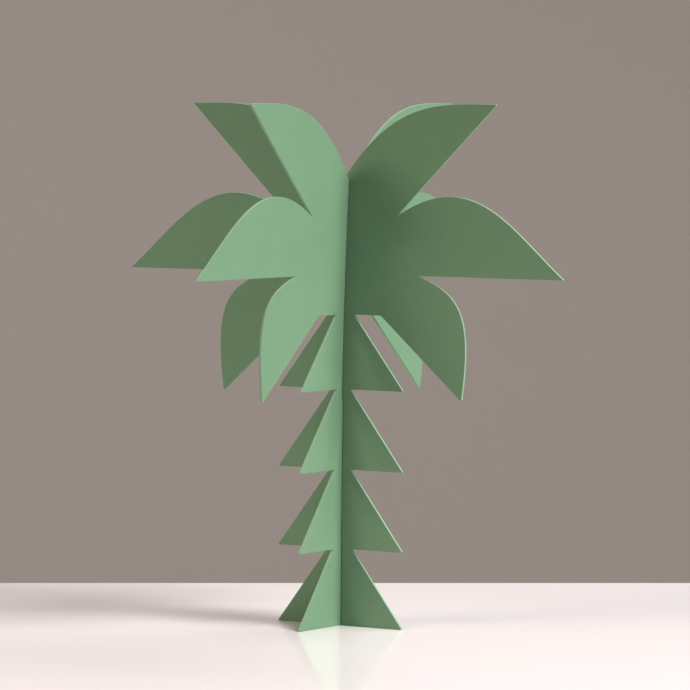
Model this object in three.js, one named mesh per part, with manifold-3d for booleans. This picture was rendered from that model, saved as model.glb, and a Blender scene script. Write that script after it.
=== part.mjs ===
// A model palm cut from two sheets of green card.
// Both sheets have the same outline: a trunk of four flared tiers under a crown of three pairs of fronds.
// Each sheet has a slot over half the trunk's height, one from the foot and one from the crown,
// so the sheets push into one another at right angles and the tree stands on its own feet.
// Millimetres, +Z up. The origin is on the ground, under the line where the two sheets cross.
// The left-right card stands flat along X. The front-back card stands along Y and bows to the right.

import * as THREE from 'three';
import { mergeVertices } from 'three/addons/utils/BufferGeometryUtils.js';
import Module from 'manifold-3d';

// The sheet and its slots: each slot runs a little past the other's end, so the cards go fully home
const cardThickness = 1;
const slotClearance = 0.25;
const slotWidth = cardThickness + 2 * slotClearance;
const crownSlotEnd = 85;
const footSlotEnd = 87.5;

// The bow of the front-back card: how far its top has moved to the right, and how late the bow starts
const treeHeight = 200;
const bowAtTop = 5;
const bowPower = 2.6;
const bowSteps = 16;

// Cutting shapes run this far past what they cut
const overrun = 2;
const cutterDepth = 2 * (bowAtTop + overrun);

// The outline is given for one side, as reach from the middle line and height above the ground
const tierFeet = [0, 29.5, 60, 90.8];
const tierNecks = [5.6, 4.9, 4.5, 6];
const tierReach = 28.6;
const crownFoot = { reach: 18.1, height: 119.5 };
const crownNotch = { reach: 0, height: 169.7 };

// A frond springs from a crotch in the outline and ends in a sharp tip. Its back is one cubic curve,
// which leaves its root towards the first bulge point and reaches the tip from the second.
const upperFrond = {
  crotch: { reach: 24.9, height: 157.3 },
  tip: { reach: 69.5, height: treeHeight },
  bulge: [{ reach: 23, height: 202.5 }, { reach: 44.5, height: 200.3 }],
};
const middleFrond = {
  crotch: { reach: 34.4, height: 135 },
  tip: { reach: 99.2, height: 135 },
  bulge: [{ reach: 59.4, height: 178.6 }, { reach: 76.7, height: 152.4 }],
};
const lowerFrond = {
  crotch: crownFoot,
  tip: { reach: 54.5, height: 88.1 },
  bulge: [{ reach: 52.6, height: 129 }, { reach: 59.8, height: 122.4 }],
};
const backSteps = 20;

const cardColor = 0x8bb08c;
const cardRoughness = 0.9;

const wasm = await Module();
wasm.setup();

function point(place) {
  return new THREE.Vector2(place.reach, place.height);
}

// Points along a frond's curved back, from where the back starts to the tip
function frondBack(start, frond) {
  const [leaving, arriving] = frond.bulge;
  const curve = new THREE.CubicBezierCurve(point(start), point(leaving), point(arriving), point(frond.tip));
  return curve.getPoints(backSteps);
}

// The point where a line from one place to another passes the given reach
function pointAtReach(from, to, reach) {
  return from.clone().lerp(to, (reach - from.x) / (to.x - from.x));
}

// A frond's back is parted where the frond leaves the trunk's crown: both parts share one point
function partBack(back, reach) {
  const first = back.findIndex((place) => place.x > reach);
  const shared = pointAtReach(back[first - 1], back[first], reach);
  return { root: [...back.slice(0, first), shared], blade: [shared, ...back.slice(first)] };
}

const upperBack = partBack(frondBack(crownNotch, upperFrond), upperFrond.crotch.reach);
const middleBack = partBack(frondBack(upperFrond.crotch, middleFrond), middleFrond.crotch.reach);
const lowerBack = frondBack(middleFrond.crotch, lowerFrond);
const lowerRoot = pointAtReach(point(crownFoot), point(lowerFrond.tip), middleFrond.crotch.reach);

// The tiers from the ground up: each is widest at its flat foot and narrows to a neck under the next
function tierOutline() {
  const tops = [...tierFeet.slice(1), crownFoot.height];
  return tierFeet.flatMap((foot, tier) => [
    new THREE.Vector2(tierReach, foot),
    new THREE.Vector2(tierNecks[tier], tops[tier]),
  ]);
}

// One side of the trunk with the roots of its fronds, from the foot up to the notch in the crown
function trunkSide() {
  return [
    ...tierOutline(),
    point(crownFoot),
    lowerRoot,
    ...middleBack.root.toReversed(),
    ...upperBack.root.toReversed(),
  ];
}

function mirrored(outline) {
  return outline.map((place) => new THREE.Vector2(-place.x, place.y));
}

// Both sides of the trunk share the point at the bottom of the notch
function trunkOutline() {
  const side = trunkSide();
  return [...side, ...mirrored(side.slice(0, -1)).toReversed()];
}

// Each frond is a blade that is cut straight at its root, where it meets the trunk's crown
const frondOutlines = {
  upper: [point(upperFrond.crotch), ...upperBack.blade.toReversed()],
  middle: [point(middleFrond.crotch), ...middleBack.blade.toReversed()],
  lower: [lowerRoot, ...lowerBack.toReversed()],
};

// An outline as a plate of the given thickness, standing up along X with its middle plane at y = 0
function standingPlate(outline, thickness) {
  const plate = new THREE.ExtrudeGeometry(new THREE.Shape(outline), {
    depth: thickness,
    bevelEnabled: false,
  });
  plate.rotateX(Math.PI / 2);
  plate.translate(0, thickness / 2, 0);
  return plate;
}

function toSolid(geometry) {
  const bare = geometry.clone();
  bare.deleteAttribute('normal');
  bare.deleteAttribute('uv');
  const merged = mergeVertices(bare);
  const vertProperties = new Float32Array(merged.attributes.position.array);
  const triVerts = new Uint32Array(merged.index.array);
  return new wasm.Manifold(new wasm.Mesh({ numProp: 3, vertProperties, triVerts }));
}

function toGeometry(solid) {
  const { vertProperties, triVerts } = solid.getMesh();
  const geometry = new THREE.BufferGeometry();
  geometry.setAttribute('position', new THREE.BufferAttribute(vertProperties, 3));
  geometry.setIndex(new THREE.BufferAttribute(triVerts, 1));
  geometry.computeVertexNormals();
  return geometry;
}

// The bow starts on the ground, and a cutter that reaches under the ground is straight there
function bowAt(height) {
  return bowAtTop * (Math.max(height, 0) / treeHeight) ** bowPower;
}

// A bowed sheet before its outline is cut: it runs right across the tree, between two heights
function bowedSheet(thickness, bottom, top) {
  const middleLine = [];
  for (let step = 0; step <= bowSteps; step += 1) {
    const height = bottom + (top - bottom) * step / bowSteps;
    middleLine.push(new THREE.Vector2(bowAt(height), height));
  }
  const rightFace = middleLine.map((place) => new THREE.Vector2(place.x + thickness / 2, place.y));
  const leftFace = middleLine.map((place) => new THREE.Vector2(place.x - thickness / 2, place.y));
  const acrossTree = 2 * (middleFrond.tip.reach + overrun);
  return standingPlate([...rightFace, ...leftFace.toReversed()], acrossTree);
}

function flatPiece(outline) {
  return toSolid(standingPlate(outline, cardThickness));
}

function bowedPiece(outline) {
  const cutter = standingPlate(outline, cutterDepth);
  cutter.rotateZ(-Math.PI / 2);
  return toSolid(cutter).intersect(toSolid(bowedSheet(cardThickness, 0, treeHeight + overrun)));
}

// The left-right card is slotted from the foot up, along the bow of the card that it takes
function footSlot() {
  return toSolid(bowedSheet(slotWidth, -overrun, footSlotEnd));
}

// The front-back card is slotted from the crown down: half of this box lies above the tree
function crownSlot() {
  const slot = new THREE.BoxGeometry(cutterDepth, slotWidth, 2 * (treeHeight - crownSlotEnd));
  slot.translate(0, 0, treeHeight);
  return toSolid(slot);
}

function addPiece(card, name, solid) {
  const material = new THREE.MeshStandardMaterial({ color: cardColor, roughness: cardRoughness, metalness: 0 });
  const piece = new THREE.Mesh(toGeometry(solid), material);
  piece.name = name;
  card.add(piece);
}

const leftRightCard = new THREE.Group();
addPiece(leftRightCard, 'trunk_left_right', flatPiece(trunkOutline()).subtract(footSlot()));

const frontBackCard = new THREE.Group();
addPiece(frontBackCard, 'trunk_front_back', bowedPiece(trunkOutline()).subtract(crownSlot()));

for (const [level, outline] of Object.entries(frondOutlines)) {
  addPiece(leftRightCard, `frond_${level}_right`, flatPiece(outline));
  addPiece(leftRightCard, `frond_${level}_left`, flatPiece(mirrored(outline)));
  addPiece(frontBackCard, `frond_${level}_front`, bowedPiece(outline));
  addPiece(frontBackCard, `frond_${level}_back`, bowedPiece(mirrored(outline)));
}

const palm = new THREE.Group();
palm.add(leftRightCard, frontBackCard);

export default palm;
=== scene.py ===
# %% [markdown]
# A model palm tree is cut from two sheets of green card with the same outline. Each sheet has a slot,
# one from the foot and one from the crown, and the sheets push into one another at right angles.
# This lesson gives a plain faceted model of the tree its looks. The faceted model is loaded as a
# fixed frame, so every new piece is drawn in the same place, in metres, with +Z up.

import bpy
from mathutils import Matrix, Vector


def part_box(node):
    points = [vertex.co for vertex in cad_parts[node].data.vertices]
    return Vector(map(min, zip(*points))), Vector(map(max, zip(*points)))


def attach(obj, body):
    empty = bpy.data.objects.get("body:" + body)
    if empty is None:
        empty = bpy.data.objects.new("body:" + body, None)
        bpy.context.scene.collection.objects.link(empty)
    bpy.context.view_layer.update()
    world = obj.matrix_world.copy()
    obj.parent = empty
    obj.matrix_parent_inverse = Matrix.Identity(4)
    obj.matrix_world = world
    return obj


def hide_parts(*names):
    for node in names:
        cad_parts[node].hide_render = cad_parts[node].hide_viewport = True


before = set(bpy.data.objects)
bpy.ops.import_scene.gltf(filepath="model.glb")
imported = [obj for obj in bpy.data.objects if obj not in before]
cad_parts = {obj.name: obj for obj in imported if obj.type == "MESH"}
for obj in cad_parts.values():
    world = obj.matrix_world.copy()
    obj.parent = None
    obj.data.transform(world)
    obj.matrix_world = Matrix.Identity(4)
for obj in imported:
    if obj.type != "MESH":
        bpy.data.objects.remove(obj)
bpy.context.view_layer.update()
print("Nodes in the frame:", ", ".join(sorted(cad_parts)))

# %% Modules
import math

import bmesh
import bpy
from mathutils import Matrix, Vector
from mathutils.geometry import interpolate_bezier

# %% [markdown]
# Card is cut flat, so one side of the outline is all that a maker draws. The other side is its
# mirror image. A place on the sheet is its reach from the middle line and its height above the
# ground, in millimetres. The whole drawing is scaled to metres at the end, because card sizes are
# easier to read in millimetres.

# %% Sizes of the tree in millimetres
METRES = 0.001
THICKNESS = 1.0
TREE_HEIGHT = 200.0
TIER_FEET = (0.0, 29.5, 60.0, 90.8)
TIER_NECKS = (5.6, 4.9, 4.5, 6.0)
TIER_REACH = 28.6
CROWN_FOOT = (18.1, 119.5)
CROWN_NOTCH = (0.0, 169.7)

# %% [markdown]
# Each frond has a straight underside, which runs from a crotch in the outline to a sharp tip, and a
# back that arches over. Such an arch could be drawn as arcs of circles. One cubic curve does it with
# two handles, as in any drawing program, and it is easy to bend until it lies on the real outline.

# %% The three fronds of one side, from the lowest up
FRONDS = (
    {"crotch": CROWN_FOOT, "tip": (54.5, 88.1), "handles": ((59.8, 122.4), (52.6, 129.0))},
    {"crotch": (34.4, 135.0), "tip": (99.2, 135.0), "handles": ((76.7, 152.4), (59.4, 178.6))},
    {"crotch": (24.9, 157.3), "tip": (69.5, TREE_HEIGHT), "handles": ((44.5, 200.3), (23.0, 202.5))},
)
BACK_POINTS = 49


def sheet_point(place):
    """A place on the sheet as a point of the drawing: reach along X and height along Z."""
    reach, height = place
    return Vector((reach, 0.0, height))


def frond_outline(frond, back_end):
    """The tip and the arched back of a frond, from its tip up to where its back ends."""
    first, second = frond["handles"]
    ends_and_handles = [sheet_point(place) for place in (frond["tip"], first, second, back_end)]
    return interpolate_bezier(*ends_and_handles, BACK_POINTS)


def half_outline():
    """The outline of one side, from the foot of the middle line round to the notch at its top."""
    outline = [Vector((0.0, 0.0, 0.0))]
    tier_tops = TIER_FEET[1:] + (CROWN_FOOT[1],)
    for foot, neck, top in zip(TIER_FEET, TIER_NECKS, tier_tops):
        outline.append(sheet_point((TIER_REACH, foot)))
        outline.append(sheet_point((neck, top)))
    outline.append(sheet_point(CROWN_FOOT))
    back_ends = [frond["crotch"] for frond in FRONDS[1:]] + [CROWN_NOTCH]
    for frond, back_end in zip(FRONDS, back_ends):
        outline.extend(frond_outline(frond, back_end))
    return outline


print("Points on one side of the outline:", len(half_outline()))

# %% [markdown]
# A sharp tip of card doesn't stay sharp: its last fraction of a millimetre is rubbed round. A vertex
# bevel does the same to the drawing. It is done while the sheet is still one flat face. The tips are
# picked out by how far the outline turns there. It runs anticlockwise, so it turns left at a tip and
# right in a crotch, which nothing rubs and which stays as sharp as the knife left it.

# %% The tips that wear round
TIP_WEAR = 0.8
TIP_STEPS = 3
TIP_TURN = math.radians(100)


def left_turn(before, corner, after):
    """How far the outline turns to the left at a corner."""
    arriving, leaving = corner.co - before.co, after.co - corner.co
    return leaving.xz.angle_signed(arriving.xz)


def half_sheet(bm):
    """Draws one side of the sheet as a face, and gives back its sharp tips."""
    outline = [bm.verts.new(place) for place in half_outline()]
    bm.faces.new(outline)
    corners = zip(outline[:-2], outline[1:-1], outline[2:])
    return [corner for before, corner, after in corners if left_turn(before, corner, after) > TIP_TURN]


trial = bmesh.new()
print("Sharp tips on one side:", len(half_sheet(trial)))
trial.free()

# %% [markdown]
# The whole sheet is the half and its mirror image. Then it is ruled into level rows, so that it can
# bend: a flat face bends only where it has points. The rows are cut with bisect_plane, which also
# puts a point on the outline wherever a row meets it. None is cut along the very top, where the
# upper fronds' backs run almost level: a row there would leave slivers that spoil their arrises.

# %% The whole sheet, ruled into rows
ROW_HEIGHT = 2.5
UP = Vector((0.0, 0.0, 1.0))
MERGE_DISTANCE = 0.001


def cut(bm, faces, place, direction):
    """Cuts the faces along a plane and keeps both sides."""
    around = dict.fromkeys(item for face in faces for item in (*face.verts, *face.edges))
    bmesh.ops.bisect_plane(
        bm, geom=[*faces, *around], dist=MERGE_DISTANCE, plane_co=place, plane_no=direction
    )


def whole_sheet():
    """Both sides of the sheet, flat and without thickness, with worn tips and level rows."""
    bm = bmesh.new()
    tips = half_sheet(bm)
    bmesh.ops.bevel(
        bm, geom=tips, affect="VERTICES", offset=TIP_WEAR, segments=TIP_STEPS, profile=0.5, material=-1
    )
    bmesh.ops.mirror(bm, geom=[*bm.verts, *bm.edges, *bm.faces], axis="X", merge_dist=MERGE_DISTANCE)
    for row in range(1, int(TREE_HEIGHT / ROW_HEIGHT)):
        cut(bm, bm.faces[:], UP * row * ROW_HEIGHT, UP)
    bmesh.ops.recalc_face_normals(bm, faces=bm.faces[:])
    return bm


trial = whole_sheet()
print("A sheet's faces in all its rows:", len(trial.faces))
trial.free()

# %% [markdown]
# The left-right card is slotted from the foot up and the front-back card from the crown down. Above
# its slot's end the second card is two free halves, and both have bowed: they lean to the right of
# the middle line, more and more with height. The other card's slot follows that line. The slots are
# a little wider than the card is thick, and the gap shows as a thin dark line beside the crease. Their
# ends meet when the cards are pushed home, so no light comes through there.

# %% The bow and the slots
BOW_AT_TOP = 5.0
BOW_POWER = 2.6
SLOTS_MEET = 86.4
SLOT_CLEARANCE = 0.45
ACROSS = Vector((1.0, 0.0, 0.0))


def bow(height):
    """How far the bowed card has moved sideways at a height."""
    return BOW_AT_TOP * (max(height, 0.0) / TREE_HEIGHT) ** BOW_POWER


def shear_by_bow(bm, amount):
    """Moves every point sideways by an amount of the bow at its height."""
    for vert in bm.verts:
        vert.co.x += amount * bow(vert.co.z)


def cut_slot(bm, bottom, top):
    """Cuts a straight slot on the middle line of the sheet, between two heights."""
    half_width = THICKNESS / 2 + SLOT_CLEARANCE
    for end in (bottom, top):
        cut(bm, bm.faces[:], UP * end, UP)
    for side in (-1, 1):
        beside = [face for face in bm.faces if bottom < face.calc_center_median().z < top]
        cut(bm, beside, ACROSS * side * half_width, ACROSS)
    waste = []
    for face in bm.faces:
        centre = face.calc_center_median()
        if abs(centre.x) < half_width and bottom < centre.z < top:
            waste.append(face)
    bmesh.ops.delete(bm, geom=waste, context="FACES")


bows = [round(bow(height), 2) for height in (SLOTS_MEET, TREE_HEIGHT)]
print("The bow where the slots meet and at the top, in millimetres:", bows)

# %% [markdown]
# A sheet gets its thickness by extruding it. Where the knife went through, the cut edge meets the
# face at a sharp arris, which handling soon blunts, so a fine bevel goes round every one. The bevel
# takes the cut edge's material: there the green face of the card is rubbed through.

# %% From a flat sheet to a card with thickness
ARRIS = 0.16
ARRIS_STEPS = 2
FACE_LIMIT = 0.9
SMOOTH_ANGLE = math.radians(12)
FACE_SLOT, EDGE_SLOT = 0, 1


def is_broad(face):
    """True for a face in the plane of the card, and False for one on a cut edge."""
    return abs(face.normal.y) > FACE_LIMIT


def thicken(bm):
    """Gives a flat sheet its thickness, blunts its arrises and sets the material of each face."""
    sheet = bmesh.ops.extrude_face_region(bm, geom=bm.faces[:])
    moved = [item for item in sheet["geom"] if isinstance(item, bmesh.types.BMVert)]
    bmesh.ops.translate(bm, vec=(0.0, THICKNESS, 0.0), verts=moved)
    bmesh.ops.translate(bm, vec=(0.0, -THICKNESS / 2, 0.0), verts=bm.verts[:])
    bmesh.ops.recalc_face_normals(bm, faces=bm.faces[:])
    arrises = [edge for edge in bm.edges if len({is_broad(face) for face in edge.link_faces}) == 2]
    bmesh.ops.bevel(
        bm, geom=arrises, affect="EDGES", offset=ARRIS, segments=ARRIS_STEPS, profile=0.5, material=-1
    )
    for face in bm.faces:
        face.material_index = FACE_SLOT if is_broad(face) else EDGE_SLOT


trial = whole_sheet()
thicken(trial)
edge_faces = sum(face.material_index == EDGE_SLOT for face in trial.faces)
print("Faces of a thick sheet:", len(trial.faces), "of which on cut edges and arrises:", edge_faces)
trial.free()

# %% [markdown]
# Where the card was cut, the eye looks at its layers: two green skins and a paler core. The material
# for the cut edge needs to know how deep in the card each point lies, and the bowed card makes that
# hard to work out from a point's place. So the depth is stored on the mesh as an attribute, while
# the card is still flat. The shading is set edge by edge: smooth over the gentle bends of the
# outline, and sharp wherever two faces meet at more than SMOOTH_ANGLE.

# %% The depth in the card, and the shading
DEPTH = "depth in card"


def store_depth(bm):
    """Stores how deep each point lies, from minus a half on one face to a half on the other."""
    depth = bm.verts.layers.float.new(DEPTH)
    for vert in bm.verts:
        vert[depth] = vert.co.y / THICKNESS


def soften(bm):
    """Shades the gentle bends of the outline smooth and leaves the arrises crisp."""
    for face in bm.faces:
        face.smooth = True
    for edge in bm.edges:
        edge.smooth = edge.is_manifold and edge.calc_face_angle() < SMOOTH_ANGLE


# %% [markdown]
# The left-right card stays flat, and its slot is bent like the other card's bow. To cut it, the sheet
# is sheared until that line is straight, cut with two planes and sheared back. The front-back card is
# cut straight. It is turned to its place, and then it bows.

# %% The two cards
BELOW_FOOT, ABOVE_TOP = -1.0, TREE_HEIGHT + 1.0


def left_right_card():
    bm = whole_sheet()
    shear_by_bow(bm, -1)
    cut_slot(bm, BELOW_FOOT, SLOTS_MEET)
    shear_by_bow(bm, 1)
    thicken(bm)
    store_depth(bm)
    return bm


def front_back_card():
    bm = whole_sheet()
    cut_slot(bm, SLOTS_MEET, ABOVE_TOP)
    thicken(bm)
    store_depth(bm)
    bmesh.ops.rotate(bm, matrix=Matrix.Rotation(-math.pi / 2, 3, "Z"), verts=bm.verts[:])
    shear_by_bow(bm, 1)
    return bm


def add_object(name, bm):
    mesh = bpy.data.meshes.new(name)
    bm.to_mesh(mesh)
    bm.free()
    item = bpy.data.objects.new(name, mesh)
    bpy.context.scene.collection.objects.link(item)
    return item


cards = {}
for name, make in (("card_left_right", left_right_card), ("card_front_back", front_back_card)):
    bm = make()
    soften(bm)
    bmesh.ops.scale(bm, vec=(METRES,) * 3, verts=bm.verts[:])
    open_edges = sum(not edge.is_manifold for edge in bm.edges)
    cards[name] = add_object(name, bm)
    print(name, "faces:", len(cards[name].data.polygons), "open edges:", open_edges)

# %% [markdown]
# Each card stands for its trunk and its six fronds in the frame. Those nodes are hidden, and the
# print shows how far the new card's box lies from theirs.

# %% Each card takes the place of its nodes
LEVELS = ("upper", "middle", "lower")
CARD_NODES = {}
for name, sides in (("left_right", ("left", "right")), ("front_back", ("front", "back"))):
    fronds = [f"frond_{level}_{side}" for level in LEVELS for side in sides]
    CARD_NODES["card_" + name] = ["trunk_" + name, *fronds]

for name, card in cards.items():
    boxes = [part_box(node) for node in CARD_NODES[name]]
    low = [min(box[0][axis] for box in boxes) for axis in range(3)]
    high = [max(box[1][axis] for box in boxes) for axis in range(3)]
    places = [vert.co for vert in card.data.vertices]
    low_gaps = [(min(place[axis] for place in places) - low[axis]) / METRES for axis in range(3)]
    high_gaps = [(high[axis] - max(place[axis] for place in places)) / METRES for axis in range(3)]
    print(name, "inside the nodes' box by", [round(gap, 3) for gap in low_gaps + high_gaps], "mm")
    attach(card, "root")
    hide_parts(*CARD_NODES[name])

# %% [markdown]
# Colours are chosen as sRGB hex codes, which is what a colour picker shows. Cycles works in linear
# light, so one function converts them. The sRGB curve is straight near black and a power above that.
# Another small function adds a shader node, sets what it is given and links any socket that is
# passed to it.

# %% Helpers for materials
CURVE_STARTS = 0.04045
STRAIGHT_SLOPE = 12.92
CURVE_OFFSET = 0.055
CURVE_POWER = 2.4


def linear_share(share):
    """One sRGB colour share from 0 to 1 as a linear one."""
    if share <= CURVE_STARTS:
        return share / STRAIGHT_SLOPE
    return ((share + CURVE_OFFSET) / (1 + CURVE_OFFSET)) ** CURVE_POWER


def linear(code):
    """The linear colour of an sRGB hex code, with full alpha."""
    shares = [int(code[place:place + 2], 16) / 255 for place in (1, 3, 5)]
    return [linear_share(share) for share in shares] + [1.0]


def add_node(tree, kind, sockets=None, **settings):
    """Adds a node, gives it settings, and sets or links its sockets by name or number."""
    node = tree.nodes.new("ShaderNode" + kind)
    for setting, value in settings.items():
        setattr(node, setting, value)
    for key, value in (sockets or {}).items():
        named = [socket for socket in node.inputs if socket.name == key and socket.enabled]
        socket = named[0] if named else node.inputs[key]
        if isinstance(value, bpy.types.NodeSocket):
            tree.links.new(value, socket)
        else:
            socket.default_value = value
    return node


def new_material(name):
    """A material without nodes, and its node tree."""
    material = bpy.data.materials.new(name)
    material.use_nodes = True
    material.node_tree.nodes.clear()
    return material, material.node_tree


print("The middle grey #808080 in linear light:", round(linear("#808080")[0], 3))

# %% [markdown]
# The card is pulp-dyed craft card, pressed smooth between rollers. Its fibres are about 0.03 mm wide
# and lie mostly along the sheet. They are drawn ten times wider here, because a real one would be far
# smaller than a pixel. Over them lies the soft cloudiness that shows when such a sheet is tilted to
# the light. A picture of real card would need its own folds and lighting taken out first; noise has
# neither. The sizes are in millimetres. A fibre fades in where its noise rises from the first value
# of FIBRE_FADE to the second.

# %% Material: dyed craft card
FIBRE_WIDTH = 0.35
FIBRE_LENGTH = 1.2
FIBRE_DETAIL = 2.0
FIBRE_FADE = (0.5, 0.8)
FIBRE_SHARE = 0.4
CLOUD_SIZE = 9.0
CLOUD_DETAIL = 3.0
TOOTH_DEPTH = 0.02
TOOTH_STRENGTH = 0.5
CARD_DARK, CARD_LIGHT, FIBRE_LIGHT = "#5C7E60", "#628566", "#709273"
CARD_ROUGH = (0.72, 0.88)
CARD_IOR = 1.47


def card_clouds(tree):
    """The sheet's soft cloudiness, as a noise."""
    place = add_node(tree, "TexCoord").outputs["Object"]
    scale = 1 / (CLOUD_SIZE * METRES)
    clouds = add_node(tree, "TexNoise", {"Vector": place, "Scale": scale, "Detail": CLOUD_DETAIL})
    return clouds.outputs["Fac"]


def card_fibres(tree):
    """Fibres that run up the sheet, as a noise that is stretched along it."""
    place = add_node(tree, "TexCoord").outputs["Object"]
    stretch = FIBRE_WIDTH / FIBRE_LENGTH
    along = add_node(tree, "Mapping", {"Vector": place, "Scale": (1.0, 1.0, stretch)})
    scale = 1 / (FIBRE_WIDTH * METRES)
    fibres = add_node(
        tree, "TexNoise", {"Vector": along.outputs["Vector"], "Scale": scale, "Detail": FIBRE_DETAIL}
    )
    return fibres.outputs["Fac"]


def dyed_card():
    material, tree = new_material("dyed craft card")
    clouds, fibres = card_clouds(tree), card_fibres(tree)
    cloudy = add_node(
        tree, "Mix", {"Factor": clouds, "A": linear(CARD_DARK), "B": linear(CARD_LIGHT)}, data_type="RGBA"
    )
    fade_start, fade_end = FIBRE_FADE
    fibre_share = add_node(
        tree,
        "MapRange",
        {"Value": fibres, "From Min": fade_start, "From Max": fade_end, "To Max": FIBRE_SHARE},
    )
    colour = add_node(
        tree,
        "Mix",
        {"Factor": fibre_share.outputs["Result"], "A": cloudy.outputs[2], "B": linear(FIBRE_LIGHT)},
        data_type="RGBA",
    )
    least, most = CARD_ROUGH
    rough = add_node(tree, "MapRange", {"Value": clouds, "To Min": least, "To Max": most})
    tooth = TOOTH_DEPTH * METRES
    bump = add_node(tree, "Bump", {"Height": fibres, "Distance": tooth, "Strength": TOOTH_STRENGTH})
    shader = add_node(
        tree,
        "BsdfPrincipled",
        {
            "Base Color": colour.outputs[2],
            "Roughness": rough.outputs["Result"],
            "Normal": bump.outputs["Normal"],
            "IOR": CARD_IOR,
        },
    )
    add_node(tree, "OutputMaterial", {"Surface": shader.outputs["BSDF"]})
    return material


face_material = dyed_card()
print("Material for the faces:", face_material.name)

# %% [markdown]
# The cut edge is the same card seen from its side. The knife pulls fibres apart, so it is paler and
# rougher than the face, and faint layers run along it. The stored depth is a share of the thickness,
# and so is the depth of a skin. A layer's height is in millimetres.

# %% Material: cut edge of the card
EDGE_SKIN, EDGE_CORE = "#698B6C", "#7A997E"
EDGE_ROUGH = 0.9
DEPTH_AT_FACE = 0.5
SKIN_DEPTH = 0.18
LAYER_HEIGHT = 0.12
FIBRES_IN_LAYERS = 0.5
EDGE_TOOTH_DEPTH = 0.04
EDGE_TOOTH_STRENGTH = 0.6


def cut_edge():
    material, tree = new_material("cut edge of card")
    fibres = card_fibres(tree)
    depth = add_node(tree, "Attribute", attribute_name=DEPTH).outputs["Fac"]
    from_middle = add_node(tree, "Math", {0: depth}, operation="ABSOLUTE").outputs["Value"]
    core_share = add_node(
        tree,
        "MapRange",
        {"Value": from_middle, "From Min": DEPTH_AT_FACE, "From Max": DEPTH_AT_FACE - SKIN_DEPTH},
    )
    colour = add_node(
        tree,
        "Mix",
        {"Factor": core_share.outputs["Result"], "A": linear(EDGE_SKIN), "B": linear(EDGE_CORE)},
        data_type="RGBA",
    )
    layers = add_node(
        tree, "TexNoise", {"W": depth, "Scale": THICKNESS / LAYER_HEIGHT}, noise_dimensions="1D"
    )
    ragged = add_node(
        tree,
        "Mix",
        {"Factor": FIBRES_IN_LAYERS, "A": layers.outputs["Fac"], "B": fibres},
        data_type="FLOAT",
    )
    bump = add_node(
        tree,
        "Bump",
        {
            "Height": ragged.outputs["Result"],
            "Distance": EDGE_TOOTH_DEPTH * METRES,
            "Strength": EDGE_TOOTH_STRENGTH,
        },
    )
    shader = add_node(
        tree,
        "BsdfPrincipled",
        {
            "Base Color": colour.outputs[2],
            "Roughness": EDGE_ROUGH,
            "Normal": bump.outputs["Normal"],
            "IOR": CARD_IOR,
        },
    )
    add_node(tree, "OutputMaterial", {"Surface": shader.outputs["BSDF"]})
    return material


edge_material = cut_edge()
for card in cards.values():
    card.data.materials.append(face_material)
    card.data.materials.append(edge_material)
print("Material for the cut edges:", edge_material.name)

# %% [markdown]
# The tree stands on a plinth with a pale top. Light that falls on the top comes back up, so the
# lowest tiers are lit from below and the crown much less. A pale floor without an end would light
# them all alike. The plinth is a block that is turned until its far edge lies level in the picture,
# and a bevel takes the sharpness off its rim. From here on, sizes are in metres.

# %% The pale plinth
PLINTH_WIDTH = 0.56
PLINTH_FRONT = 0.26
PLINTH_BACK = 0.154
PLINTH_HEIGHT = 0.75
PLINTH_RIM = 0.002
RIM_STEPS = 3
PLINTH_TURN = math.radians(36.4)


def pale_plinth():
    bm = bmesh.new()
    bmesh.ops.create_cube(bm, size=1.0)
    depth = PLINTH_FRONT + PLINTH_BACK
    bmesh.ops.scale(bm, vec=(PLINTH_WIDTH, depth, PLINTH_HEIGHT), verts=bm.verts[:])
    middle = Vector((0.0, (PLINTH_BACK - PLINTH_FRONT) / 2, -PLINTH_HEIGHT / 2))
    bmesh.ops.translate(bm, vec=middle, verts=bm.verts[:])
    bmesh.ops.rotate(bm, matrix=Matrix.Rotation(PLINTH_TURN, 3, "Z"), verts=bm.verts[:])
    rim = [edge for edge in bm.edges if all(vert.co.z > -PLINTH_RIM for vert in edge.verts)]
    bmesh.ops.bevel(
        bm, geom=rim, affect="EDGES", offset=PLINTH_RIM, segments=RIM_STEPS, profile=0.5, material=-1
    )
    soften(bm)
    return add_object("pale_plinth", bm)


plinth = pale_plinth()
print("The plinth is", PLINTH_WIDTH, "m wide, with faces:", len(plinth.data.polygons))

# %% [markdown]
# Round the plinth stands a studio cove: a floor that sweeps up into a wall all the way round, open at
# the top. A plain floor would end at a hard horizon, and the sweep hides it. Only the wall shows
# behind the tree, and being far off it is evenly lit. The profile is a floor line and a quarter
# circle, and one spin about the upright axis makes the rest.

# %% The studio cove
COVE_RADIUS = 3.0
COVE_SWEEP = 0.4
COVE_TOP = 1.5
COVE_STEPS = 96
SWEEP_STEPS = 16
COVE_MERGE = 0.001


def cove_profile(bm):
    """The floor line, the sweep and the wall line, from the middle of the floor outwards."""
    start = bm.verts.new((0.0, 0.0, -PLINTH_HEIGHT))
    floor_end = bm.verts.new((COVE_RADIUS - COVE_SWEEP, 0.0, -PLINTH_HEIGHT))
    bm.edges.new((start, floor_end))
    swept = bmesh.ops.spin(
        bm,
        geom=[floor_end],
        cent=(COVE_RADIUS - COVE_SWEEP, 0.0, COVE_SWEEP - PLINTH_HEIGHT),
        axis=(0.0, -1.0, 0.0),
        angle=math.pi / 2,
        steps=SWEEP_STEPS,
    )
    sweep_end = next(item for item in swept["geom_last"] if isinstance(item, bmesh.types.BMVert))
    wall = bmesh.ops.extrude_vert_indiv(bm, verts=[sweep_end])
    bmesh.ops.translate(bm, vec=UP * (COVE_TOP - sweep_end.co.z), verts=wall["verts"])


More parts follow.
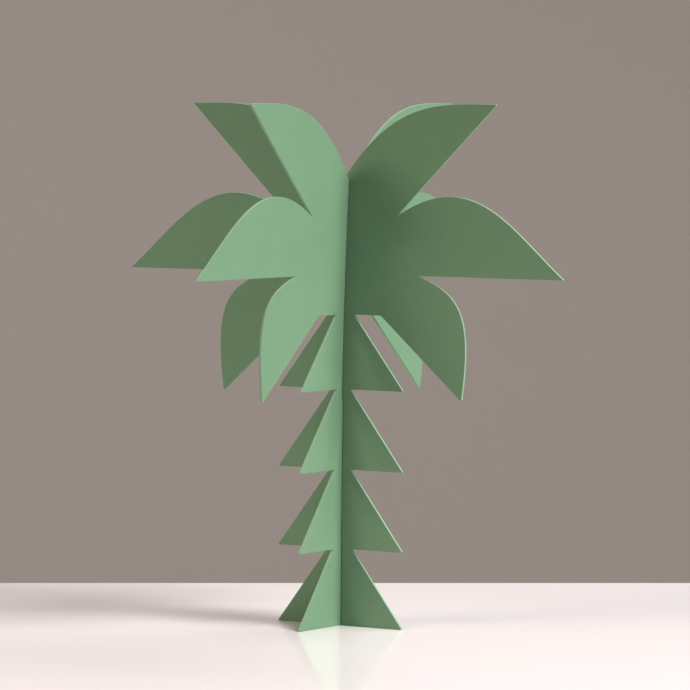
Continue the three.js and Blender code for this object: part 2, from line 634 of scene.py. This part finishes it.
def studio_cove():
    bm = bmesh.new()
    cove_profile(bm)
    bmesh.ops.spin(
        bm,
        geom=[*bm.verts, *bm.edges],
        cent=(0.0, 0.0, 0.0),
        axis=UP,
        angle=2 * math.pi,
        steps=COVE_STEPS,
        use_merge=True,
    )
    bmesh.ops.remove_doubles(bm, verts=bm.verts[:], dist=COVE_MERGE)
    bmesh.ops.recalc_face_normals(bm, faces=bm.faces[:])
    for face in bm.faces:
        face.smooth = True
    return add_object("studio_cove", bm)


cove = studio_cove()
print("The cove is", 2 * COVE_RADIUS, "m across, with faces:", len(cove.data.polygons))

# %% [markdown]
# The plinth is faced with laminate, a hard resin film pressed on under heat. It is smooth enough to
# mirror the tree's foot faintly at this low angle. The cove has matt wall paint. Both are a shade
# uneven in gloss, which a coarse noise gives.

# %% Materials: pale laminate and matt paint
PLINTH_COLOUR, COVE_COLOUR = "#F3EBED", "#B0A9A4"
LAMINATE_IOR, PAINT_IOR = 1.5, 1.45
LAMINATE_ROUGH, PAINT_ROUGH = (0.08, 0.12), (0.75, 0.85)
MOTTLE_SIZE = 0.025
MOTTLE_DETAIL = 4.0


def plain_surface(name, colour, roughness, ior):
    """A plain colour whose gloss is slightly uneven."""
    material, tree = new_material(name)
    place = add_node(tree, "TexCoord").outputs["Object"]
    scale = 1 / MOTTLE_SIZE
    mottle = add_node(tree, "TexNoise", {"Vector": place, "Scale": scale, "Detail": MOTTLE_DETAIL})
    least, most = roughness
    rough = add_node(
        tree, "MapRange", {"Value": mottle.outputs["Fac"], "To Min": least, "To Max": most}
    )
    shader = add_node(
        tree,
        "BsdfPrincipled",
        {"Base Color": linear(colour), "Roughness": rough.outputs["Result"], "IOR": ior},
    )
    add_node(tree, "OutputMaterial", {"Surface": shader.outputs["BSDF"]})
    return material


laminate = plain_surface("pale laminate", PLINTH_COLOUR, LAMINATE_ROUGH, LAMINATE_IOR)
plinth.data.materials.append(laminate)
paint = plain_surface("matt paint", COVE_COLOUR, PAINT_ROUGH, PAINT_IOR)
cove.data.materials.append(paint)
print("Materials around the tree:", laminate.name, "and", paint.name)

# %% [markdown]
# The camera stands to the front and right, a little above the crown, and looks slightly down through
# a long lens. A long lens from far off keeps both cards' proportions. Its place is an angle round
# the tree, a distance and a height, and it aims at a point on the trunk.

# %% The camera
CAMERA_AZIMUTH = math.radians(33.56)
CAMERA_DISTANCE = 1.7778
CAMERA_HEIGHT = 0.2054
AIM_HEIGHT = 0.1077
AIM_ASIDE = 0.0014
CAMERA_ROLL = math.radians(0.305)
LENS = 242.7
SENSOR = 36.0


def round_the_tree(azimuth, distance, height):
    """A place that is seen at an angle to the right of the front, at a distance and a height."""
    return Vector((distance * math.sin(azimuth), -distance * math.cos(azimuth), height))


camera = bpy.data.objects.new("camera", bpy.data.cameras.new("camera"))
camera.data.lens = LENS
camera.data.sensor_width = SENSOR
camera.location = round_the_tree(CAMERA_AZIMUTH, CAMERA_DISTANCE, CAMERA_HEIGHT)
camera_right = Vector((math.cos(CAMERA_AZIMUTH), math.sin(CAMERA_AZIMUTH), 0.0))
aim = camera_right * AIM_ASIDE + UP * AIM_HEIGHT
look = (aim - camera.location).to_track_quat("-Z", "Y").to_matrix()
roll = Matrix.Rotation(CAMERA_ROLL, 3, "Z")
camera.rotation_euler = (look @ roll).to_euler()
bpy.context.scene.collection.objects.link(camera)
bpy.context.scene.camera = camera
print("Camera at", [round(value, 4) for value in camera.location])

# %% [markdown]
# A tall softbox to the right does most of the work. It stands exactly in line with the left-right
# card, so it falls full on the other card and only grazes this one. A weaker panel at the front and
# left fills that shaded side, and one behind lifts the tree's shadow and its back. Panels are better
# here than a sun lamp, whose shadows would have hard edges.

# %% The lights
LIGHT_DISTANCE = 2.2
PANELS = {
    "key_softbox": {
        "azimuth": 90, "elevation": 43, "width": 0.72, "height": 1.2, "power": 82.0, "colour": "#FFFFFF"
    },
    "fill_panel": {
        "azimuth": -30, "elevation": 38, "width": 0.8, "height": 0.8, "power": 22.5, "colour": "#FFE9D4"
    },
    "back_panel": {
        "azimuth": 180, "elevation": 45, "width": 1.6, "height": 0.8, "power": 26.0, "colour": "#FFFFFF"
    },
    "top_panel": {
        "azimuth": 0, "elevation": 90, "width": 1.4, "height": 1.4, "power": 4.0, "colour": "#FFFFFF"
    },
}


def add_panel(name, azimuth, elevation, width, height, power, colour):
    """An oblong soft light that aims at the middle of the tree."""
    light = bpy.data.lights.new(name, "AREA")
    light.shape = "RECTANGLE"
    light.size = width
    light.size_y = height
    light.energy = power
    light.color = linear(colour)[:3]
    item = bpy.data.objects.new(name, light)
    azimuth, elevation = math.radians(azimuth), math.radians(elevation)
    level = LIGHT_DISTANCE * math.cos(elevation)
    item.location = round_the_tree(azimuth, level, LIGHT_DISTANCE * math.sin(elevation))
    target = UP * TREE_HEIGHT * METRES / 2
    item.rotation_euler = (target - item.location).to_track_quat("-Z", "Y").to_euler()
    item.visible_camera = False
    bpy.context.scene.collection.objects.link(item)


for name, settings in PANELS.items():
    add_panel(name, **settings)
print("Lights:", ", ".join(PANELS))

# %% [markdown]
# No studio is quite dark: its walls send back a trace of every light. The world stands for that, as
# a weak white light from all round. The Standard view shows each colour as it was chosen, where a
# film-like one would dull the greens.

# %% The rest of the room
WORLD_COLOUR = "#FFFFFF"
WORLD_STRENGTH = 0.02

world = bpy.data.worlds.new("dim_room")
world.use_nodes = True
background = world.node_tree.nodes["Background"].inputs
background["Color"].default_value = linear(WORLD_COLOUR)
background["Strength"].default_value = WORLD_STRENGTH
bpy.context.scene.world = world
bpy.context.scene.view_settings.view_transform = "Standard"
print("The world's strength:", WORLD_STRENGTH)
